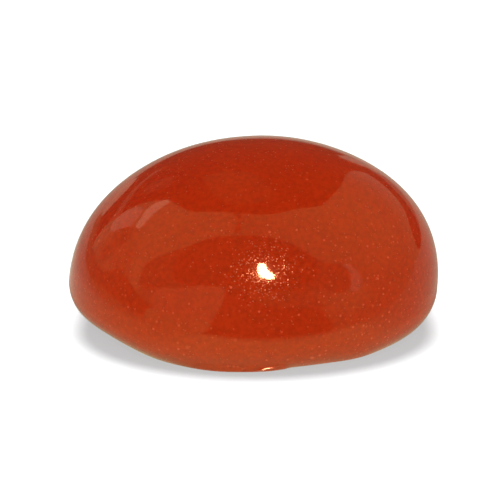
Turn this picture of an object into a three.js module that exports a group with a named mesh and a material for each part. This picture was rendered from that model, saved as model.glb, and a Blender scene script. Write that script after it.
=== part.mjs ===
// A carnelian cabochon: one polished stone with a high oval dome, a rounded belly and a flat ground base.
// Sizes are in millimetres. +X runs along the long axis, -Y faces the front and +Z is up.
// The origin is the middle of the flat base.
import * as THREE from 'three';

const { degToRad, euclideanModulo, smoothstep } = THREE.MathUtils;

// Driving dimensions: the oval at the girdle, which is the stone's widest level, and the two heights
const halfLength = 7.0;
const halfWidth = 5.6;
const girdleHeight = 1.24;
const domeHeight = 5.47;

// The dome's section is a superellipse, a little fuller than a true ellipse, whose power would be 2
const domePower = 2.12;

// The crown stands off the middle of the base, towards +X
const crownShift = 0.44;

// The belly turns in below the girdle by this angle, and meets the flat base at a sharp edge
const bellyTurn = degToRad(58);

// Size of the flat base as a share of the oval, and the places on the edge where hand grinding changed it
const baseShare = 0.91;
const edgeMarks = [
  { place: 'left front, ground in', at: degToRad(-154), spread: degToRad(18), change: -0.08 },
  { place: 'right front, left fuller', at: degToRad(-46), spread: degToRad(10), change: 0.02 },
];

// A hand-cut oval is uneven: each swell goes round it this many times, with a height as a share of the radius
const swells = [
  { times: 3, height: 0.007, wave: Math.cos },
  { times: 4, height: -0.008, wave: Math.sin },
];

// Soft flats that the wheel left on the dome, in the direction where they lie from the stone's middle
const domeFlats = [
  { place: 'left back shoulder', towards: new THREE.Vector3(-0.62, 0.35, 0.7), depth: 0.03 },
  { place: 'right back shoulder', towards: new THREE.Vector3(0.55, 0.35, 0.76), depth: 0.04 },
];
const flatSpread = degToRad(20);

// A thin lip runs along the front of the base edge, and breaks off at a small chip on its right
const lipFrom = -2.3;
const lipTo = 1.24;
const lipReach = 0.18;
const lipHeight = 0.25;
const lipRun = 1.2;
const chipRun = 0.15;

// Fineness of the solid
const columns = 96;
const domeRows = 24;
const bellyRows = 8;

const colour = new THREE.Color().setRGB(170 / 255, 40 / 255, 10 / 255, THREE.SRGBColorSpace);

// A smooth hump, 1 at its middle, that fades out over the spread
function hump(distance, spread) {
  return Math.exp(-((distance / spread) ** 2));
}

// Half of the section as points of a turned form: x runs from 0 on the axis to 1 at the girdle, y is the height
function sectionProfile() {
  const profile = [new THREE.Vector2(0, 0)];
  const baseCosine = Math.cos(bellyTurn);
  for (let row = bellyRows; row > 0; row -= 1) {
    const turn = (bellyTurn * row) / bellyRows;
    const share = baseShare + ((1 - baseShare) * (Math.cos(turn) - baseCosine)) / (1 - baseCosine);
    profile.push(new THREE.Vector2(share, girdleHeight * (1 - Math.sin(turn) / Math.sin(bellyTurn))));
  }
  for (let row = 0; row < domeRows; row += 1) {
    const climb = ((Math.PI / 2) * row) / domeRows;
    const share = Math.cos(climb) ** (2 / domePower);
    profile.push(new THREE.Vector2(share, girdleHeight + domeHeight * Math.sin(climb) ** (2 / domePower)));
  }
  profile.push(new THREE.Vector2(0, girdleHeight + domeHeight));
  return profile;
}

// Radius of the uneven oval at an angle round +Z
function ovalRadius(angle) {
  let radius = 1 / Math.hypot(Math.cos(angle) / halfLength, Math.sin(angle) / halfWidth);
  for (const { times, height, wave } of swells) {
    radius *= 1 + height * wave(times * angle);
  }
  return radius;
}

// How the edge marks draw the belly in or out: nothing at the girdle, all of it at the base
function edgeFactor(angle, share, height) {
  if (height >= girdleHeight) return 1;
  let change = 0;
  for (const mark of edgeMarks) {
    const away = euclideanModulo(angle - mark.at + Math.PI, 2 * Math.PI) - Math.PI;
    change += mark.change * hump(away, mark.spread);
  }
  const inward = Math.min(1, (1 - share) / (1 - baseShare));
  return (share + change * inward) / share;
}

// Takes the soft flats off the dome
function grindFlats(point) {
  if (point.z < girdleHeight) return;
  const outward = new THREE.Vector3(
    point.x / halfLength,
    point.y / halfWidth,
    (point.z - girdleHeight) / domeHeight,
  ).normalize();
  for (const { towards, depth } of domeFlats) {
    point.addScaledVector(outward, -depth * hump(outward.angleTo(towards), flatSpread));
  }
}

// Draws the front of the base edge out into its lip
function addLip(point) {
  if (point.y > 0) return;
  const starts = smoothstep(point.x, lipFrom - lipRun, lipFrom + lipRun);
  const ends = smoothstep(point.x, lipTo - chipRun, lipTo + chipRun);
  point.y -= lipReach * starts * (1 - ends) * hump(point.z, lipHeight);
}

// The section is turned round +Z, and then drawn out to the stone's own form
function stoneGeometry() {
  const geometry = new THREE.LatheGeometry(sectionProfile(), columns);
  geometry.rotateX(Math.PI / 2);
  const position = geometry.getAttribute('position');
  const point = new THREE.Vector3();
  for (let index = 0; index < position.count; index += 1) {
    point.fromBufferAttribute(position, index);
    const share = Math.hypot(point.x, point.y);
    const rise = Math.max(0, point.z - girdleHeight) / domeHeight;
    if (share > 0) {
      const angle = Math.atan2(point.y, point.x);
      const radius = ovalRadius(angle) * edgeFactor(angle, share, point.z);
      point.set(point.x * radius, point.y * radius, point.z);
      addLip(point);
    }
    point.x += crownShift * rise;
    grindFlats(point);
    position.setXYZ(index, point.x, point.y, point.z);
  }
  geometry.computeBoundingBox();
  const middle = geometry.boundingBox.getCenter(new THREE.Vector3());
  geometry.translate(-middle.x, -middle.y, 0);
  geometry.computeVertexNormals();
  return geometry;
}

const stone = new THREE.Mesh(
  stoneGeometry(),
  new THREE.MeshStandardMaterial({ color: colour, roughness: 0.08, metalness: 0 }),
);
stone.name = 'cabochon';

const carnelian = new THREE.Group();
carnelian.add(stone);

export default carnelian;
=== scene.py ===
"""The looks of a polished carnelian cabochon on a pale floor, in soft studio light.

The stone's form repeats the solid's own formulas and named values, in millimetres, with a finer base edge.
Blender's scene is in metres, so each length is multiplied by MM where it is used.
"""

from math import cos, pi, radians, sin

import bpy
import numpy as np
from mathutils import Matrix, Vector


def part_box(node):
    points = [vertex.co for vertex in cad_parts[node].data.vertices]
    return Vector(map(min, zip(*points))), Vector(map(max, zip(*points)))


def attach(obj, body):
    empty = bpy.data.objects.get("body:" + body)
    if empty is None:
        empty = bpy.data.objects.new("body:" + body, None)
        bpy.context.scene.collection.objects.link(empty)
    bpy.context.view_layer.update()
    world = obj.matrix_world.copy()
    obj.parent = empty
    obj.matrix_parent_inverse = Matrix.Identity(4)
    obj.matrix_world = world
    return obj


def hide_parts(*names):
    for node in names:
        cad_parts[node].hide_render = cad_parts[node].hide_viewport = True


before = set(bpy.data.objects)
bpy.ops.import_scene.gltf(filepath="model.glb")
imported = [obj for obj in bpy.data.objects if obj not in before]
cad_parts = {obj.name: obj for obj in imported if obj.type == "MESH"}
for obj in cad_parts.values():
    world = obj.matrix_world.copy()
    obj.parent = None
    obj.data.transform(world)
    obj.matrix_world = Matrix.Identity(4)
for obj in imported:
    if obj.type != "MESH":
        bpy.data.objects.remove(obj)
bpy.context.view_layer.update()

MM = 0.001

# The oval at the girdle, the heights below and above it, and the dome's section
HALF_LENGTH = 7.0
HALF_WIDTH = 5.6
GIRDLE_HEIGHT = 1.24
DOME_HEIGHT = 5.47
DOME_POWER = 2.12
CROWN_SHIFT = 0.44

# The belly's turn below the girdle, the flat base as a share of the oval, and where grinding changed the
# base's edge: the angle round the stone, how far it spreads, and the change as a share of the oval
BELLY_TURN = radians(58)
BASE_SHARE = 0.91
EDGE_MARKS = (
    {"place": "left front, ground in", "at": radians(-154), "spread": radians(18), "change": -0.08},
    {"place": "right front, left fuller", "at": radians(-46), "spread": radians(10), "change": 0.02},
)

# Swells of the uneven oval: how many go round it, their height as a share of the radius, and their wave
SWELLS = ((3, 0.007, np.cos), (4, -0.008, np.sin))

# Soft flats that the wheel left on the dome: direction from the stone's middle, and depth
DOME_FLATS = (((-0.62, 0.35, 0.7), 0.03), ((0.55, 0.35, 0.76), 0.04))
FLAT_SPREAD = radians(20)

# The thin lip along the front of the base edge, and the chip where it breaks off
LIP_FROM = -2.3
LIP_TO = 1.34
LIP_REACH = 0.18
LIP_HEIGHT = 0.25
LIP_RUN = 1.2
CHIP_RUN = 0.18

# The lip thins out towards the chip, to a share of its reach
LIP_THINS_FROM = 0.5
LIP_THINS_TO = 1.4
LIP_THINNED = 0.5

# A fine slanted ridge on the lip beside the chip, which catches the lamp along its upper flank: where it
# starts and ends, how softly, its height at its start, its slope and curve upwards, how far it stands out,
# the share of that which it thins to, and its spread up and down as a multiple of how far it stands out
RIDGE_FROM = 0.24
RIDGE_TO = 1.05
RIDGE_RUN = 0.14
RIDGE_HEIGHT = 0.132
RIDGE_CLIMB = 0.045
RIDGE_CURVE = 0.17
RIDGE_REACH = 0.042
RIDGE_THINNED = 0.4
RIDGE_FLATNESS = 1.09

# The flat base's edge is barely rounded, by this radius
EDGE_ROUND = 0.05

# Fineness of the mesh: columns round the stone, which stand closer together in front by this share, and rows
# on the dome and on the belly. The belly's rows stand closest where the ridge is: shares of them, and the
# heights that these shares reach. An edge that turns by more than the sharp angle is shaded as sharp.
COLUMNS = 448
COLUMN_CROWDING = 0.6
DOME_ROWS = 84
BELLY_ROWS = 96
BELLY_SHARES = (0, 0.12, 0.65, 1)
BELLY_REACHES = (0, 0.07, 0.29, GIRDLE_HEIGHT)
SHARP_ANGLE = radians(50)

# Colours of the carnelian, as linear red, green and blue, the warm tint and the roughness of its gloss, its
# refraction, and how far red, green and blue light scatter inside it, as shares of a depth
BODY_DEEP = (0.394, 0.0182, 0.0014)
BODY_PALE = (0.411, 0.0208, 0.0017)
# Pale specks and pits take this colour, and so do the painted glints round the lamp's reflection
SPECK_AND_GLINT_PALE = (0.68, 0.09, 0.033)
GLOSS_TINT = (1.0, 1.0, 0.6)
GLOSS_ROUGHNESS = 0.06
STONE_IOR = 1.54
SCATTER_RADIUS = (1.0, 0.35, 0.15)
SCATTER_DEPTH = 2.5

# Cloudy zones in the stone, and the fine grain of its colour: their widths, the detail of their noise, the
# stretch of it over which the colour changes, and by how much the grain makes it paler or deeper
CLOUD_WIDTH = 4.0
CLOUD_DETAIL = 3
CLOUD_RUN = (0.35, 0.65)
GRAIN_WIDTH = 0.16
GRAIN_DETAIL = 2
GRAIN_RUN = (0.3, 0.7)
GRAIN_DEPTH = 0.1

# A speck, a zone of specks or a pit is whole up to this share of its reach, and fades out over the rest
SPOT_CORE = 0.3

# Places in the stone where a pale speck may lie: the mean distance between them, a speck's radius before its
# own size is applied, the least and greatest of those sizes, and how pale the faintest and the palest are
SPECK_SPACING = 0.2
SPECK_RADIUS = 0.058
SPECK_SIZES = (0.6, 1.3)
SPECK_PALENESS = (0.15, 0.75)

# The share of those places that hold one: least at the crown and most at the foot, changing between these
# heights, and more in two zones, at the front right and round the lamp's reflection, each with its middle,
# its reach and the share that it adds. The pale specks of the zone round the lamp's reflection are painted
# glints.
SPECK_SHARE_CROWN = 0.05
SPECK_SHARE_FOOT = 0.55
SPECK_HEIGHTS = (0.5, 4.5)
SPECK_AND_GLINT_ZONES = (((4.6, -4.0, 2.2), 4.5, 0.4), ((0.2, -4.91, 4.01), 3.0, 0.28))

# Single pale pits, each with its place on the surface, its radius and how pale it is
PITS = (
    ((0.53, -3.82, 5.38), 0.05, 1.0),
    ((1.77, -0.88, 6.57), 0.07, 0.4),
    ((-4.65, -4.07, 2.13), 0.07, 0.8),
    ((-5.72, -2.92, 2.19), 0.08, 0.4),
    ((-5.04, -3.24, 3.17), 0.07, 0.5),
    ((-0.83, -5.18, 3.46), 0.07, 1.0),
    ((4.62, -3.88, 3.23), 0.07, 0.9),
    ((4.85, -3.73, 3.19), 0.06, 0.6),
    ((6.39, -2.39, 2.26), 0.08, 0.5),
    ((-2.45, -5.32, 1.07), 0.12, 0.3),
    ((-2.8, -5.2, 1.2), 0.07, 0.5),
    ((-0.67, -5.6, 1.5), 0.1, 0.3),
    ((2.18, -5.08, 0.5), 0.12, 0.6),
)

# Tiny rough pits of the polish, which spread the lamp's light: the mean distance between places for them,
# their radius, the shares of it between which they fade out, the strengths of the faintest and the
# strongest, their greatest roughness and how far their floors tilt
SPARK_SPACING = 0.075
SPARK_RADIUS = 0.03
SPARK_EDGE = (0.7, 1.2)
SPARK_STRENGTHS = (0.3, 1.0)
SPARK_ROUGHNESS = 0.52
SPARK_TILT = 0.36

# They ring a small smooth spot of the front: its middle, the distances from it between which they set in,
# and then the distances between which the share of those places that hold one falls, and from what to what
SPARK_SPOT = (0.5, -4.91, 4.01)
SPARK_BEGINS = (0.3, 0.4)
SPARK_THINS = (0.2, 1.6)
SPARK_SHARES = (1.0, 0.06)

# The camera looks down on the stone from the front, and its middle line passes a little above the base. It
# sees what is between the nearest and the farthest distance.
CAMERA_ELEVATION = radians(25)
CAMERA_DISTANCE = 210.0
CAMERA_SIDE = -0.0672
CAMERA_RISE = 2.3268
CAMERA_LENS = 397.03
CAMERA_SENSOR = 36.0
CAMERA_NEAREST = 10.0
CAMERA_FARTHEST = 10000.0

# The floor is a light table: it glows by itself, as a share of the picture's white, and a light from
# straight above whitens it further. The light's angle softens the edge of the shade.
FLOOR_REACH = 600.0
TABLE_GLOW = 0.49
TABLE_WHITE = 0.1
KEY_WHITENING = 0.7
KEY_ANGLE = radians(0.204)

# The flag that shades the floor under the stone from that light: its height, the middle of its oval, how far
# it reaches to the sides, to the front and to the back, and how many corners it has
FLAG_HEIGHT = 300.0
FLAG_MIDDLE = (0.1, -1.84)
FLAG_SIDE = 6.84
FLAG_FRONT = 4.15
FLAG_BACK = 7.6
FLAG_POINTS = 96

# The share of the table's light that falls on the stone: from beside and behind it, from in front of it, and
# how much more from the stretch close before it. The stretch round its foot gives at least a share of its
# own, which is less at the left than at the right, and fades out between these distances from the stone's
# middle, as multiples of the oval.
SPILL_BEHIND = 0.35
SPILL_FRONT = 0.72
SPILL_RUN = (-8.0, -1.0)
SPILL_CLOSE = 0.25
SPILL_CLOSE_RUN = (-11.0, -6.0)
SPILL_FOOT_LEFT = 0.62
SPILL_FOOT_RIGHT = 1.0
SPILL_FOOT_SIDE = (-4.0, 2.5)
SPILL_FOOT_RUN = (1.1, 1.5)

# Soft fill on the stone from all round, as a share of the picture's white: at the horizon, and overhead,
# from this height of its direction upwards. By these shares more comes from the front and less from behind.
FILL_HORIZON = 1.2
FILL_ZENITH = 0.99
FILL_ZENITH_FROM = 0.8
FILL_FRONT = 0.28
FILL_BACK = -0.17

# The light tent that the gloss shows. Its light is warmer in front than behind: the blue in it at either
# end, and the depths of its direction between which that changes
TENT_GLOW = 0.4
TENT_REACH = 500.0
TENT_BLUE_FRONT = 0.55
TENT_BLUE_BACK = 0.77
TENT_BLUE_RUN = (0.4, 1.1)

# Paler and darker stretches of the tent: azimuth and elevation of the middle, how far it reaches, all in
# degrees, and its glow, which is whole up to a share of the reach. A later one covers those before it.
STRETCH_CORE = 0.25
TENT_STRETCHES = (
    (-75, 48, 48, 0.56),
    (78, 48, 48, 0.56),
    (-113, 8, 34, 0.33),
    (-111, 23, 9, 0.24),
    (-111, 10, 7, 0.24),
    (-101, 8, 8, 0.42),
    (-97, 21, 9, 0.42),
    (125, 14, 28, 0.42),
    (86, -12, 20, 0.39),
    (48, -2, 16, 0.54),
    (-155, -6, 18, 0.42),
    (160, -6, 26, 0.25),
)

# The white plinth that the gloss shows under the stone. Each soft edge has a point on it, the way along it
# with the plinth on its left, and how far inside it the plinth starts and is whole. The front edge has a
# spur at its corner.
PLINTH_REACH = 90.0
PLINTH_RIGHT = {"point": (-3.2, -10.5), "way": radians(19.5), "fade": (-0.8, 0.8)}
PLINTH_FRONT = {"point": (-4.5, -9.7), "way": radians(0), "fade": (-0.5, 0.5)}
PLINTH_SPUR = {"point": (-3.2, -11.2), "way": radians(-49), "fade": (-0.5, 0.5)}
PLINTH_LEFT = {"point": (-11.8, -9.7), "way": radians(-56), "fade": (-1.0, 2.0)}

# Its glow: most in front, less behind and at the right, and fading away from the stone at the left, which
# begins between these places. Its light is warmer in front, as the tent's is.
PLINTH_GLOW_FRONT = 0.81
PLINTH_GLOW_BACK = 0.5
PLINTH_GLOW_DEPTH = (-7.0, 4.0)
PLINTH_GLOW_RIGHT = 0.5
PLINTH_GLOW_SIDE = (5.5, 9.0)
PLINTH_GLOW_NEAR = 0.69
PLINTH_GLOW_FAR = 0.42
PLINTH_GLOW_AWAY = (1.16, 2.9)
PLINTH_LEFT_BEGINS = (-3.0, -7.0)
PLINTH_BLUE_RUN = (-9.0, 4.0)

# The stone's own shade on the plinth, close round it, but not in front: its middle, its reach to the sides
# and in depth, the multiples of these between which it fades out, the depths between which it sets in, and
# how dark it is
CONTACT_MIDDLE = 1.0
CONTACT_SIDE = 7.3
CONTACT_DEPTH = 6.4
CONTACT_EDGE = (1.04, 1.16)
CONTACT_RUN = (-4.6, -1.6)
CONTACT_SHADE = 0.32

# Cards and openings of the tent. Each outline is a list of azimuth and elevation in degrees, seen from the
# stone: azimuth 0 is towards the camera, and 90 to its right. The share is the card's distance, as a share
# of the tent's reach, and a nearer card hides those behind it. A card with no tint has the tent's.
CARDS = (
    {"name": "back_opening", "glow": 0.07, "share": 1.0, "outline": (
        (-129, 14), (-131, 30), (-128, 45), (-117, 54), (-106, 60), (-90, 74), (-41, 83), (45, 80),
        (86, 74), (97, 68), (108, 64.5), (120, 61), (132, 55), (142, 47), (149.5, 39.5), (154.2, 32),
        (157.4, 23), (157.8, 16), (161, 7), (166, 2.5), (173, 0), (180, 1), (-175, -1.5), (-168, 0),
        (-161, 2), (-155, 6), (-148, 6), (-142, 2), (-134, -4), (-128, -6), (-125, -1))},
    {"name": "back_left_veil", "glow": 0.52, "share": 0.99, "outline": (
        (-161, 3), (-156, 8), (-151, 10), (-145.5, 7.5), (-144, 4.5), (-147, 2), (-154, 2.5), (-160, 0))},
    {"name": "back_crescent", "glow": 0.08, "share": 0.98, "outline": (
        (161, 16), (154, 15), (143, 13.5), (135, 12), (125, 10.8), (119, 6.5), (117, 1), (121, -1),
        (127, -1), (137, 0), (146, 3), (153, 6), (163, 6))},
    {"name": "back_right_glow", "glow": 0.42, "share": 0.96, "outline": (
        (164, -2), (163.7, 4), (164.2, 8.5), (166, 11), (168, 9.5), (169, 5), (168.5, -2))},
    {"name": "back_blob", "glow": 0.16, "share": 0.96, "outline": (
        (-172, 50), (-158, 46), (-146, 57), (-133, 68), (-120, 79), (150, 84), (165, 72), (178, 62))},
    {"name": "back_haze", "glow": 0.15, "share": 0.97, "outline": (
        (-152, 30), (-150, 36), (-144, 38), (-140, 33), (-142, 27), (-148, 26))},
    {"name": "back_edge_light", "glow": 0.25, "share": 0.94, "outline": (
        (-131, 20), (-135.5, 21.5), (-141, 21), (-147.5, 19.2), (-154, 17.4), (-160, 15), (-154, 15.5),
        (-147.5, 16.4), (-141, 16.9), (-135.5, 16.2), (-131, 14))},
    {"name": "left_tail", "glow": 0.42, "share": 0.985, "outline": (
        (-130, 16), (-130, 9), (-128, 3), (-123, 3), (-121, 8), (-121, 16))},
    {"name": "left_patch", "glow": 0.73, "share": 0.98, "tint": (1.2, 1.0, 0.8), "outline": (
        (-126, 15), (-129, 19), (-130, 27), (-126, 34), (-119, 35), (-113, 32), (-115, 27), (-119, 20),
        (-122, 16))},
    {"name": "left_patch_gap", "glow": 0.5, "share": 0.97, "outline": (
        (-113, 31), (-119, 34), (-124, 35.5), (-125, 37.5), (-121, 37), (-114, 34))},
    {"name": "left_streak", "glow": 1.25, "share": 0.96, "tint": (1.4, 1.0, 0.8), "outline": (
        (-108.5, 32.5), (-116.5, 35), (-125, 38.5), (-128.5, 42.5), (-126.5, 47), (-118, 43.5), (-109, 37.5),
        (-106.5, 34.5))},
    {"name": "left_arc", "glow": 0.2, "share": 0.98, "outline": (
        (-149, 0), (-140, -2.5), (-131, -4), (-120, -6), (-98, -5), (-86, -6), (-72, -8), (-60, -8),
        (-57, -4), (-64, 1), (-72, 5), (-80, 9), (-90, 12), (-97, 7), (-104, 3), (-120, 3), (-128, 2),
        (-137, 4.5))},
    {"name": "left_strip", "glow": 0.58, "share": 0.96, "outline": (
        (-75, 7), (-80, 12), (-85, 20), (-83, 26), (-77, 28), (-76, 22), (-75, 15), (-71, 8))},
    {"name": "front_opening", "glow": 0.27, "share": 0.94, "outline": (
        (-71, 11), (-73, 17), (-75, 24), (-68, 36), (-56, 49), (-41, 60), (-13, 64), (11, 62), (27, 55),
        (35, 40), (40, 30), (50, 24), (49, 16), (47, 5), (34, 9), (21, 12), (3, 16), (-14, 20), (-42, 17),
        (-55, 13))},
    {"name": "front_opening_depth", "glow": 0.16, "share": 0.92, "outline": (
        (-32, 20), (-46, 21), (-55, 30), (-58, 40), (-52, 52), (-37, 60), (-13, 63), (11, 61), (26, 54),
        (34, 41), (36, 30), (30, 16), (21, 13), (3, 17), (-14, 21))},
    {"name": "front_shelf", "glow": 0.53, "share": 0.96, "tint": (1.6, 1.0, 0.6), "outline": (
        (-58, 10), (-42, 16), (-14, 20), (-12, 10), (-16, -4), (-22, -16), (-45, -14), (-56, -2))},
    {"name": "front_shelf_low", "glow": 0.6, "share": 0.95, "outline": (
        (-60, -4), (-45, -4), (-30, -5), (-18, -7), (-22, -16), (-30, -22), (-45, -20), (-60, -14))},
    {"name": "camera_opening", "glow": 0.17, "share": 0.94, "outline": (
        (-12, 19), (-17, 9), (-23, -3), (-26, -13), (-15, -30), (10, -36), (34, -34), (40, -21), (35, -10),
        (31, 3), (27, 12), (3, 17))},
    {"name": "camera_haze", "glow": 0.3, "share": 0.93, "outline": (
        (4, 14), (8, 5), (20, 0), (30, -4), (34, -7), (32, 2), (28, 10), (18, 13))},
    {"name": "right_strip", "glow": 0.76, "share": 0.92, "tint": (1.35, 1.0, 0.85), "outline": (
        (48.5, 25), (50.5, 25), (54, 19), (55.3, 11), (53, 3), (48.7, 2.5), (49, 9), (50, 15), (50.2, 20))},
    {"name": "top_seam", "glow": 0.22, "share": 0.92, "outline": (
        (-66, 81), (-33, 76), (-20, 66), (-16, 66), (-27, 76), (-48, 82))},
)

# The lamp is a card too, with straight edges. Its warm light colours the sparks round its reflection.
LAMP_TINT = (1.0, 0.36, 0.27)
LAMP_GLOW = 145.0
LAMP_SHARE = 0.9
LAMP_OUTLINE = (
    (6.6, 38.4), (9.6, 38.1), (11.4, 35.9), (11.6, 32.2), (12.8, 30.2), (14.0, 29.3), (15.1, 26.4),
    (14.5, 24.0), (12.2, 24.0), (8.6, 25.9), (6.6, 29.2), (5.9, 34))


def hump(distance, spread):
    """A smooth hump, 1 at its middle, that fades out over the spread."""
    return np.exp(-((distance / spread) ** 2))


def smoothstep(value, low, high):
    """A smooth rise from 0 at low to 1 at high."""
    share = np.clip((value - low) / (high - low), 0, 1)
    return share * share * (3 - 2 * share)


def section_rows():
    """Each row's share of the oval and its height, from the base edge up to just below the crown."""
    belly_heights = np.interp(np.linspace(0, 1, BELLY_ROWS, endpoint=False), BELLY_SHARES, BELLY_REACHES)
    turns = np.arcsin((1 - belly_heights / GIRDLE_HEIGHT) * sin(BELLY_TURN))
    belly = BASE_SHARE + (1 - BASE_SHARE) * (np.cos(turns) - cos(BELLY_TURN)) / (1 - cos(BELLY_TURN))
    angles = np.linspace(0, pi / 2, DOME_ROWS, endpoint=False)
    dome = np.cos(angles) ** (2 / DOME_POWER)
    dome_heights = GIRDLE_HEIGHT + DOME_HEIGHT * np.sin(angles) ** (2 / DOME_POWER)
    return np.concatenate((belly, dome)), np.concatenate((belly_heights, dome_heights))


def oval_radius(angle):
    """Radius of the uneven oval at an angle round +Z."""
    radius = 1 / np.hypot(np.cos(angle) / HALF_LENGTH, np.sin(angle) / HALF_WIDTH)
    for times, height, wave in SWELLS:
        radius = radius * (1 + height * wave(times * angle))
    return radius


def edge_factor(angle, share, height):
    """How the edge marks draw the belly in or out: nothing at the girdle, all of it at the base."""
    change = 0
    for mark in EDGE_MARKS:
        away = (angle - mark["at"] + pi) % (2 * pi) - pi
        change = change + mark["change"] * hump(away, mark["spread"])
    inward = np.minimum(1, (1 - share) / (1 - BASE_SHARE))
    return np.where(height < GIRDLE_HEIGHT, (share + change * inward) / share, 1)


def edge_rounding(height):
    """How far the rounded base edge stands in, at a height above the base."""
    down = np.clip(1 - height / EDGE_ROUND, 0, 1)
    return EDGE_ROUND * (1 - np.sqrt(1 - down ** 2))


def add_lip(points):
    """Draws the front of the base edge out into its lip, with the fine ridge beside the chip."""
    x, y, z = points[..., 0], points[..., 1], points[..., 2]
    starts = smoothstep(x, LIP_FROM - LIP_RUN, LIP_FROM + LIP_RUN)
    ends = 1 - smoothstep(x, LIP_TO - CHIP_RUN, LIP_TO + CHIP_RUN)
    thinning = 1 - (1 - LIP_THINNED) * smoothstep(x, LIP_THINS_FROM, LIP_THINS_TO)
    lip = LIP_REACH * thinning * starts * ends * hump(z, LIP_HEIGHT)
    ridge_starts = smoothstep(x, RIDGE_FROM - RIDGE_RUN, RIDGE_FROM + RIDGE_RUN)
    ridge_ends = 1 - smoothstep(x, RIDGE_TO - RIDGE_RUN, RIDGE_TO + RIDGE_RUN)
    along = np.clip((x - RIDGE_FROM) / (RIDGE_TO - RIDGE_FROM), 0, 1)
    reach = RIDGE_REACH * (1 - (1 - RIDGE_THINNED) * along)
    past = x - RIDGE_FROM
    above = z - RIDGE_HEIGHT - RIDGE_CLIMB * past - RIDGE_CURVE * past ** 2
    ridge = reach * ridge_starts * ridge_ends * hump(above, RIDGE_FLATNESS * reach)
    points[..., 1] = y - np.where(y < 0, lip + ridge, 0)


def grind_flats(points):
    """Takes the soft flats off the dome."""
    outward = (points - (0, 0, GIRDLE_HEIGHT)) / (HALF_LENGTH, HALF_WIDTH, DOME_HEIGHT)
    outward = outward / np.linalg.norm(outward, axis=-1, keepdims=True)
    above = points[..., 2] >= GIRDLE_HEIGHT
    for towards, depth in DOME_FLATS:
        facing = outward @ (np.array(towards) / np.linalg.norm(towards))
        angle = np.arccos(np.clip(facing, -1, 1))
        points -= (depth * hump(angle, FLAT_SPREAD) * above)[..., None] * outward


def stone_rings():
    """The stone's surface as rows of points, in millimetres, before it is set over the solid."""
    share, height = (row[:, None] for row in section_rows())
    turn = np.linspace(0, 2 * pi, COLUMNS, endpoint=False)[None, :]
    angle = turn - COLUMN_CROWDING * np.cos(turn)
    radius = share * oval_radius(angle) * edge_factor(angle, share, height) - edge_rounding(height)
    points = np.stack((radius * np.cos(angle), radius * np.sin(angle), height + 0 * radius), axis=-1)
    add_lip(points)
    points[..., 0] += CROWN_SHIFT * np.maximum(0, height - GIRDLE_HEIGHT) / DOME_HEIGHT
    grind_flats(points)
    return points


def stone_faces(rows):
    """Quads between the rings, then triangles up to the crown's point and in to the middle of the base."""
    crown_point = rows * COLUMNS
    base_point = crown_point + 1
    faces = []
    for column in range(COLUMNS):
        beside = (column + 1) % COLUMNS
        for row in range(rows - 1):
            low, high = row * COLUMNS, (row + 1) * COLUMNS
            faces.append((low + column, low + beside, high + beside, high + column))
        top = (rows - 1) * COLUMNS
        faces.append((top + column, top + beside, crown_point))
        faces.append((beside, column, base_point))
    return faces


def build_stone():
    """The stone as one closed mesh that fills the solid's box, and the middle of its form before that."""
    rings = stone_rings()
    crown = np.array([[CROWN_SHIFT, 0, GIRDLE_HEIGHT + DOME_HEIGHT]])
    grind_flats(crown)
    base = np.zeros((1, 3))
    points = np.concatenate((rings.reshape(-1, 3), crown, base))

    low_corner, high_corner = (np.array(corner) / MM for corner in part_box("cabochon"))
    raw_low, raw_high = points.min(0), points.max(0)
    points = low_corner + (points - raw_low) * (high_corner - low_corner) / (raw_high - raw_low)

    mesh = bpy.data.meshes.new("carnelian_stone")
    mesh.from_pydata((points * MM).tolist(), [], stone_faces(len(rings)))
    mesh.shade_smooth()
    mesh.set_sharp_from_angle(angle=SHARP_ANGLE)
    stone = bpy.data.objects.new("carnelian_stone", mesh)
    bpy.context.scene.collection.objects.link(stone)
    return stone, (raw_low + raw_high) / 2


class Nodes:
    """A material's or world's node tree, with short ways to add and join its nodes."""

    def __init__(self, owner):
        owner.use_nodes = True
        self.tree = owner.node_tree
        self.tree.nodes.clear()

    def add(self, kind, settings=None, **inputs):
        """Adds a node. Inputs are values or other nodes' outputs, by socket name or number, as in _0."""
        node = self.tree.nodes.new(kind)
        for name, value in (settings or {}).items():
            setattr(node, name, value)
        for name, value in inputs.items():
            key = int(name[1:]) if name[0] == "_" else name.replace("_", " ")
            self.set(node, key, value)
        return node

    def set(self, node, key, value):
        """Gives one input its value, or joins it to another node's output."""
        socket = node.inputs[key]
        if isinstance(value, bpy.types.NodeSocket):
            self.tree.links.new(value, socket)
        elif socket.type == "RGBA":
            socket.default_value = (*value, 1)
        else:
            socket.default_value = value

    def math(self, operation, *values):
        """A Math node's result."""
        node = self.add("ShaderNodeMath", {"operation": operation})
        for index, value in enumerate(values):
            self.set(node, index, value)
        return node.outputs[0]

    def vector(self, operation, *values, scale=None):
        """A Vector Math node."""
        node = self.add("ShaderNodeVectorMath", {"operation": operation})
        for index, value in enumerate(values):
            self.set(node, index, value)
        if scale is not None:
            self.set(node, "Scale", scale)
        return node

    def ramp(self, value, low, high, first=0.0, last=1.0):
        """The first number where the value is at low, the last where it is at high, smooth between them."""
        settings = {"interpolation_type": "SMOOTHSTEP"}
        node = self.add("ShaderNodeMapRange", settings, Value=value, From_Min=low, From_Max=high,
                        To_Min=first, To_Max=last)
        return node.outputs["Result"]

    def blend(self, factor, first, second):
        """A mix of two numbers."""
        node = self.add("ShaderNodeMix", {"data_type": "FLOAT"})
        self.set(node, 0, factor)
        self.set(node, 2, first)
        self.set(node, 3, second)
        return node.outputs[0]

    def mix(self, factor, first, second):
        """A mix of two colours."""
        node = self.add("ShaderNodeMix", {"data_type": "RGBA"})
        self.set(node, 0, factor)
        self.set(node, 6, first)
        self.set(node, 7, second)
        return node.outputs[2]

    def mix_shaders(self, factor, first, second):
        """A mix of two shader nodes."""
        return self.add("ShaderNodeMixShader", _0=factor, _1=first.outputs[0], _2=second.outputs[0])


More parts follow.
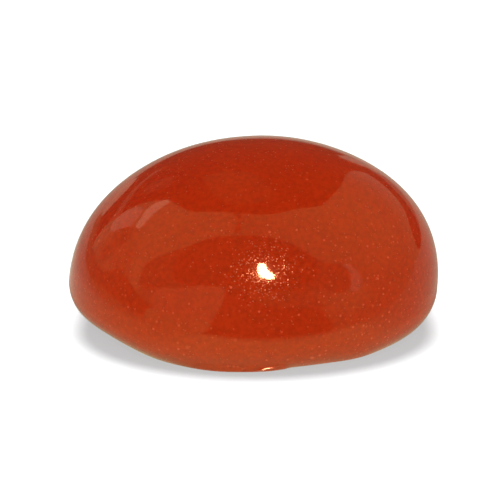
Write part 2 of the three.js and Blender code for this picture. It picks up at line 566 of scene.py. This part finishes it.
def speck_and_glint_share(nodes, place):
    """How pale the stone is at a place: 0 in the body, up to 1 in a speck or in a painted glint round the
    lamp's reflection.
    """
    grains = nodes.add("ShaderNodeTexVoronoi", Vector=place, Scale=1 / (SPECK_SPACING * MM))
    chance, size, tone = nodes.add("ShaderNodeSeparateColor", Color=grains.outputs["Color"]).outputs[:3]
    reach = nodes.math("MULTIPLY", nodes.blend(size, *SPECK_SIZES), SPECK_RADIUS / SPECK_SPACING)
    disc = nodes.ramp(nodes.math("DIVIDE", grains.outputs["Distance"], reach), SPOT_CORE, 1.0, 1.0, 0.0)
    height = nodes.add("ShaderNodeSeparateXYZ", Vector=place).outputs["Z"]
    low, high = (MM * value for value in SPECK_HEIGHTS)
    holding = nodes.ramp(height, low, high, SPECK_SHARE_FOOT, SPECK_SHARE_CROWN)
    # The zone round the lamp's reflection paints glints there as pale specks
    for middle, zone_reach, share in SPECK_AND_GLINT_ZONES:
        away = nodes.vector("DISTANCE", place, tuple(MM * value for value in middle)).outputs["Value"]
        more = nodes.ramp(away, SPOT_CORE * zone_reach * MM, zone_reach * MM, share, 0.0)
        holding = nodes.math("ADD", holding, more)
    held = nodes.math("LESS_THAN", chance, holding)
    paleness = nodes.math("MULTIPLY", held, nodes.blend(tone, *SPECK_PALENESS))
    return nodes.math("MULTIPLY", disc, paleness)


def pit_share(nodes, place, share):
    """Adds the single pale pits to the specks' share."""
    for middle, radius, paleness in PITS:
        away = nodes.vector("DISTANCE", place, tuple(MM * value for value in middle)).outputs["Value"]
        pit = nodes.ramp(away, SPOT_CORE * radius * MM, radius * MM, paleness, 0.0)
        share = nodes.math("MAXIMUM", share, pit)
    return share


def polish(nodes, place):
    """Roughness and normal of the polish, with its tiny rough pits."""
    sparks = nodes.add("ShaderNodeTexVoronoi", Vector=place, Scale=1 / (SPARK_SPACING * MM))
    radius = SPARK_RADIUS / SPARK_SPACING
    disc = nodes.ramp(sparks.outputs["Distance"], *(share * radius for share in SPARK_EDGE), 1.0, 0.0)
    noise = nodes.add("ShaderNodeTexWhiteNoise", Vector=sparks.outputs["Position"]).outputs["Color"]
    chance, tone = nodes.add("ShaderNodeSeparateColor", Color=noise).outputs[:2]
    spot = tuple(MM * value for value in SPARK_SPOT)
    away = nodes.vector("DISTANCE", place, spot).outputs["Value"]
    begun = nodes.ramp(away, *(MM * value for value in SPARK_BEGINS))
    holding = nodes.ramp(away, *(MM * value for value in SPARK_THINS), *SPARK_SHARES)
    held = nodes.math("LESS_THAN", chance, nodes.math("MULTIPLY", begun, holding))
    strength = nodes.math("MULTIPLY", held, nodes.blend(tone, *SPARK_STRENGTHS))
    amount = nodes.math("MULTIPLY", disc, strength)
    roughness = nodes.blend(amount, GLOSS_ROUGHNESS, SPARK_ROUGHNESS)
    middle_colour = (0.5, 0.5, 0.5)
    lean = nodes.vector("SUBTRACT", sparks.outputs["Color"], middle_colour).outputs[0]
    tilt = nodes.vector("SCALE", lean, scale=nodes.math("MULTIPLY", amount, SPARK_TILT)).outputs[0]
    upright = nodes.add("ShaderNodeNewGeometry").outputs["Normal"]
    tilted = nodes.vector("ADD", upright, tilt).outputs[0]
    return roughness, nodes.vector("NORMALIZE", tilted).outputs[0]


def carnelian_material():
    """Translucent orange-red stone under a high polish, with pale specks, painted glints round the lamp's
    reflection and tiny pits that catch light.
    """
    material = bpy.data.materials.new("polished_carnelian")
    nodes = Nodes(material)
    place = nodes.add("ShaderNodeTexCoord").outputs["Object"]

    clouds = nodes.add("ShaderNodeTexNoise", Vector=place, Scale=1 / (CLOUD_WIDTH * MM), Detail=CLOUD_DETAIL)
    body = nodes.mix(nodes.ramp(clouds.outputs[0], *CLOUD_RUN), BODY_PALE, BODY_DEEP)
    grain = nodes.add("ShaderNodeTexNoise", Vector=place, Scale=1 / (GRAIN_WIDTH * MM), Detail=GRAIN_DETAIL)
    depth = nodes.ramp(grain.outputs[0], *GRAIN_RUN, 1 - GRAIN_DEPTH, 1 + GRAIN_DEPTH)
    grained = nodes.vector("SCALE", body, scale=depth).outputs[0]
    pale = pit_share(nodes, place, speck_and_glint_share(nodes, place))
    colour = nodes.mix(pale, grained, SPECK_AND_GLINT_PALE)
    roughness, normal = polish(nodes, place)

    shader = nodes.add("ShaderNodeBsdfPrincipled", Base_Color=colour, Roughness=roughness, Normal=normal)
    nodes.set(shader, "IOR", STONE_IOR)
    nodes.set(shader, "Specular Tint", GLOSS_TINT)
    nodes.set(shader, "Subsurface Weight", 1.0)
    nodes.set(shader, "Subsurface Radius", SCATTER_RADIUS)
    nodes.set(shader, "Subsurface Scale", SCATTER_DEPTH * MM)
    nodes.add("ShaderNodeOutputMaterial", Surface=shader.outputs[0])
    return material


def place_camera(form_middle):
    """The camera at the photograph's viewing angle.

    The form's middle was moved over the origin, so the camera moves as far.
    """
    forward = Vector((0, cos(CAMERA_ELEVATION), -sin(CAMERA_ELEVATION)))
    upward = Vector((0, sin(CAMERA_ELEVATION), cos(CAMERA_ELEVATION)))
    aim = Vector((CAMERA_SIDE - form_middle[0], -form_middle[1], 0)) + upward * CAMERA_RISE
    camera = bpy.data.objects.new("camera", bpy.data.cameras.new("camera"))
    camera.data.lens = CAMERA_LENS
    camera.data.sensor_width = CAMERA_SENSOR
    camera.location = (aim - forward * CAMERA_DISTANCE) * MM
    camera.rotation_euler = (pi / 2 - CAMERA_ELEVATION, 0, 0)
    camera.data.clip_start = CAMERA_NEAREST * MM
    camera.data.clip_end = CAMERA_FARTHEST * MM
    bpy.context.scene.collection.objects.link(camera)
    bpy.context.scene.camera = camera


def add_to_stage(name, data):
    """Puts a floor or card into the scene as no part of the object."""
    thing = bpy.data.objects.new(name, data)
    bpy.context.scene.collection.objects.link(thing)
    return thing


def show_in_gloss_only(thing):
    """Leaves a card to the stone's gloss alone."""
    thing.visible_camera = False
    thing.visible_diffuse = False
    thing.visible_transmission = False
    thing.visible_shadow = False


def direction(azimuth, elevation):
    """A direction from the stone. Azimuth 0 is towards the camera, and 90 is to its right, in degrees."""
    level = cos(radians(elevation))
    return Vector((sin(radians(azimuth)) * level, -cos(radians(azimuth)) * level, sin(radians(elevation))))


def glow_material(name, glow, tint):
    """An even glow."""
    material = bpy.data.materials.new(name)
    nodes = Nodes(material)
    light = nodes.add("ShaderNodeEmission", Color=tint, Strength=glow)
    nodes.add("ShaderNodeOutputMaterial", Surface=light.outputs[0])
    return material


def tent_tint(way):
    """The tent's colour in a direction."""
    share = float(smoothstep(way.y, *TENT_BLUE_RUN))
    return (1.0, 1.0, TENT_BLUE_FRONT + share * (TENT_BLUE_BACK - TENT_BLUE_FRONT))


def hang_card(name, glow, share, outline, tint=None, corners="AUTO"):
    """A flat card that fills a smooth or cornered outline of directions, at a share of the tent's reach."""
    distance = share * TENT_REACH * MM
    towards = [direction(*point) for point in outline]
    middle = sum(towards, Vector()).normalized()
    turn = middle.to_track_quat("Z", "Y")
    curve = bpy.data.curves.new(name, "CURVE")
    curve.dimensions = "2D"
    curve.fill_mode = "BOTH"
    spline = curve.splines.new("BEZIER")
    spline.bezier_points.add(len(towards) - 1)
    spline.use_cyclic_u = True
    for point, way in zip(spline.bezier_points, towards):
        flat = turn.inverted() @ (way * (distance / way.dot(middle)))
        point.co = (flat.x, flat.y, 0)
        point.handle_left_type = corners
        point.handle_right_type = corners
    curve.materials.append(glow_material(name, glow, tint or tent_tint(middle)))
    card = add_to_stage(name, curve)
    card.matrix_world = Matrix.Translation(middle * distance) @ turn.to_matrix().to_4x4()
    show_in_gloss_only(card)


def tent_glow(nodes, way):
    """The tent's glow in each direction."""
    glow = TENT_GLOW
    for azimuth, elevation, reach, stretch_glow in TENT_STRETCHES:
        near = nodes.vector("DOT_PRODUCT", way, direction(azimuth, elevation)).outputs["Value"]
        share = nodes.ramp(near, cos(radians(reach)), cos(radians(STRETCH_CORE * reach)))
        glow = nodes.blend(share, glow, stretch_glow)
    return glow


def fill_glow(nodes, parts):
    """The soft fill's glow in each direction: less from above and behind, and more from the front."""
    level = nodes.ramp(parts["Z"], 0.0, FILL_ZENITH_FROM, FILL_HORIZON, FILL_ZENITH)
    forwards = nodes.math("MAXIMUM", nodes.math("MULTIPLY", parts["Y"], -1.0), 0.0)
    backwards = nodes.math("MAXIMUM", parts["Y"], 0.0)
    share = nodes.math("MULTIPLY_ADD", forwards, FILL_FRONT, 1.0)
    share = nodes.math("MULTIPLY_ADD", backwards, FILL_BACK, share)
    return nodes.math("MULTIPLY", level, share)


def light_world():
    """White for the camera, the tent's glow for the gloss, and soft fill for everything else."""
    world = bpy.data.worlds.new("studio")
    bpy.context.scene.world = world
    nodes = Nodes(world)
    rays = nodes.add("ShaderNodeLightPath").outputs
    way = nodes.add("ShaderNodeTexCoord").outputs["Generated"]
    parts = nodes.add("ShaderNodeSeparateXYZ", Vector=way).outputs
    fill = nodes.add("ShaderNodeBackground", Color=(1.0, 1.0, 1.0), Strength=fill_glow(nodes, parts))
    blue = nodes.ramp(parts["Y"], *TENT_BLUE_RUN, TENT_BLUE_FRONT, TENT_BLUE_BACK)
    tint = nodes.add("ShaderNodeCombineColor", Red=1.0, Green=1.0, Blue=blue)
    tent = nodes.add("ShaderNodeBackground", Color=tint.outputs[0], Strength=tent_glow(nodes, way))
    white = nodes.add("ShaderNodeBackground", Color=(1.0, 1.0, 1.0), Strength=1.0)
    gloss = nodes.mix_shaders(rays["Is Glossy Ray"], fill, tent)
    seen = nodes.mix_shaders(rays["Is Camera Ray"], gloss, white)
    nodes.add("ShaderNodeOutputWorld", Surface=seen.outputs[0])


def flat_square(name, reach):
    """A level square on the stage, and the nodes of its material, whose glow isn't sampled as a lamp is."""
    corners = [(-reach, -reach, 0), (reach, -reach, 0), (reach, reach, 0), (-reach, reach, 0)]
    mesh = bpy.data.meshes.new(name)
    mesh.from_pydata([[MM * value for value in corner] for corner in corners], [], [(0, 1, 2, 3)])
    material = bpy.data.materials.new(name)
    material.cycles.emission_sampling = "NONE"
    mesh.materials.append(material)
    return add_to_stage(name, mesh), Nodes(material)


def lay_floor():
    """A plain white floor that glows as a light table does. Only some of its light falls on the stone."""
    floor, nodes = flat_square("floor", FLOOR_REACH)
    floor.visible_glossy = False
    metres = nodes.add("ShaderNodeTexCoord").outputs["Object"]
    place = nodes.vector("SCALE", metres, scale=1 / MM).outputs[0]
    side, depth, _ = nodes.add("ShaderNodeSeparateXYZ", Vector=place).outputs
    close = nodes.ramp(depth, *SPILL_CLOSE_RUN, 0.0, SPILL_CLOSE)
    behind = nodes.ramp(depth, *SPILL_RUN)
    spill = nodes.blend(behind, nodes.math("ADD", close, SPILL_FRONT), SPILL_BEHIND)
    shares = nodes.vector("DIVIDE", place, (HALF_LENGTH, HALF_WIDTH, 1.0)).outputs[0]
    away = nodes.vector("LENGTH", shares).outputs["Value"]
    foot = nodes.ramp(side, *SPILL_FOOT_SIDE, SPILL_FOOT_LEFT, SPILL_FOOT_RIGHT)
    foot = nodes.math("MULTIPLY", foot, nodes.ramp(away, *SPILL_FOOT_RUN, 1.0, 0.0))
    spill = nodes.math("MAXIMUM", spill, foot)
    to_camera = nodes.add("ShaderNodeLightPath").outputs["Is Camera Ray"]
    share = nodes.blend(to_camera, spill, 1.0)
    own = nodes.math("MULTIPLY", share, TABLE_GLOW)
    glow = nodes.add("ShaderNodeEmission", Color=(1.0, 1.0, 1.0), Strength=own)
    white = nodes.add("ShaderNodeBsdfDiffuse", Color=nodes.math("MULTIPLY", share, TABLE_WHITE))
    table = nodes.add("ShaderNodeAddShader", _0=glow.outputs[0], _1=white.outputs[0])
    nodes.add("ShaderNodeOutputMaterial", Surface=table.outputs[0])
    return floor


def hang_flag():
    """An oval plate high above the stone, unseen itself, which shades the floor from the key light."""
    angles = np.linspace(0, 2 * pi, FLAG_POINTS, endpoint=False)
    reach = np.where(np.sin(angles) < 0, FLAG_FRONT, FLAG_BACK)
    x = FLAG_MIDDLE[0] + FLAG_SIDE * np.cos(angles)
    y = FLAG_MIDDLE[1] + reach * np.sin(angles)
    corners = np.stack((x, y, np.full(FLAG_POINTS, FLAG_HEIGHT)), axis=-1) * MM
    mesh = bpy.data.meshes.new("flag")
    mesh.from_pydata(corners.tolist(), [], [list(range(FLAG_POINTS))])
    flag = add_to_stage("flag", mesh)
    show_in_gloss_only(flag)
    flag.visible_glossy = False
    flag.visible_shadow = True
    return flag


def light_key(floor, flag):
    """A light from straight above on the floor alone. The flag, and not the stone, shades it."""
    key = bpy.data.objects.new("key", bpy.data.lights.new("key", "SUN"))
    key.data.energy = KEY_WHITENING / TABLE_WHITE * pi
    key.data.angle = KEY_ANGLE
    lit = bpy.data.collections.new("lit_by_key")
    lit.objects.link(floor)
    key.light_linking.receiver_collection = lit
    shading = bpy.data.collections.new("shading_the_key")
    shading.objects.link(flag)
    key.light_linking.blocker_collection = shading
    bpy.context.scene.collection.objects.link(key)


def inside_edge(nodes, place, edge):
    """How much of the plinth there is at a place near one of its edges."""
    inward = (-sin(edge["way"]), cos(edge["way"]), 0.0)
    from_edge = nodes.vector("SUBTRACT", place, (*edge["point"], 0.0)).outputs[0]
    depth = nodes.vector("DOT_PRODUCT", from_edge, inward).outputs["Value"]
    return nodes.ramp(depth, *edge["fade"])


def plinth_cover(nodes, place):
    """How much of the plinth there is at a place."""
    right, front, spur, left = (
        inside_edge(nodes, place, edge) for edge in (PLINTH_RIGHT, PLINTH_FRONT, PLINTH_SPUR, PLINTH_LEFT))
    return nodes.math("MULTIPLY", nodes.math("MULTIPLY", right, left), nodes.math("MAXIMUM", front, spur))


def contact_shade(nodes, place, depth):
    """What is left of the plinth's glow in the stone's own shade, as a share."""
    from_middle = nodes.vector("SUBTRACT", place, (0.0, CONTACT_MIDDLE, 0.0)).outputs[0]
    shares = nodes.vector("DIVIDE", from_middle, (CONTACT_SIDE, CONTACT_DEPTH, 1.0)).outputs[0]
    away = nodes.vector("LENGTH", shares).outputs["Value"]
    near = nodes.ramp(away, *CONTACT_EDGE, 1.0, 0.0)
    beside = nodes.ramp(depth, *CONTACT_RUN)
    return nodes.math("MULTIPLY_ADD", nodes.math("MULTIPLY", near, beside), -CONTACT_SHADE, 1.0)


def plinth_glow(nodes, place, side, depth):
    """The plinth's glow at a place."""
    back = nodes.ramp(depth, *PLINTH_GLOW_DEPTH, PLINTH_GLOW_FRONT, PLINTH_GLOW_BACK)
    right = nodes.ramp(side, *PLINTH_GLOW_SIDE, PLINTH_GLOW_FRONT, PLINTH_GLOW_RIGHT)
    shares = nodes.vector("DIVIDE", place, (HALF_LENGTH, HALF_WIDTH, 1.0)).outputs[0]
    away = nodes.vector("LENGTH", shares).outputs["Value"]
    left = nodes.ramp(away, *PLINTH_GLOW_AWAY, PLINTH_GLOW_NEAR, PLINTH_GLOW_FAR)
    glow = nodes.blend(nodes.ramp(side, *PLINTH_LEFT_BEGINS), nodes.math("MINIMUM", back, right), left)
    return nodes.math("MULTIPLY", glow, contact_shade(nodes, place, depth))


def lay_plinth():
    """The white plinth under the stone as the gloss shows it, with soft edges and an uneven glow."""
    plinth, nodes = flat_square("plinth", PLINTH_REACH)
    show_in_gloss_only(plinth)
    metres = nodes.add("ShaderNodeTexCoord").outputs["Object"]
    place = nodes.vector("SCALE", metres, scale=1 / MM).outputs[0]
    side, depth, _ = nodes.add("ShaderNodeSeparateXYZ", Vector=place).outputs
    cover = plinth_cover(nodes, place)
    blue = nodes.ramp(depth, *PLINTH_BLUE_RUN, TENT_BLUE_FRONT, TENT_BLUE_BACK)
    tint = nodes.add("ShaderNodeCombineColor", Red=1.0, Green=1.0, Blue=blue)
    glow = plinth_glow(nodes, place, side, depth)
    light = nodes.add("ShaderNodeEmission", Color=tint.outputs[0], Strength=glow)
    clear = nodes.add("ShaderNodeBsdfTransparent")
    sheet = nodes.mix_shaders(cover, clear, light)
    nodes.add("ShaderNodeOutputMaterial", Surface=sheet.outputs[0])


stone, stone_middle = build_stone()
stone.data.materials.append(carnelian_material())
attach(stone, "root")
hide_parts("cabochon")

place_camera(stone_middle)
light_key(lay_floor(), hang_flag())
lay_plinth()
light_world()
for card in CARDS:
    hang_card(**card)
hang_card("lamp", LAMP_GLOW, LAMP_SHARE, LAMP_OUTLINE, LAMP_TINT, "VECTOR")
bpy.context.scene.view_settings.view_transform = "Standard"
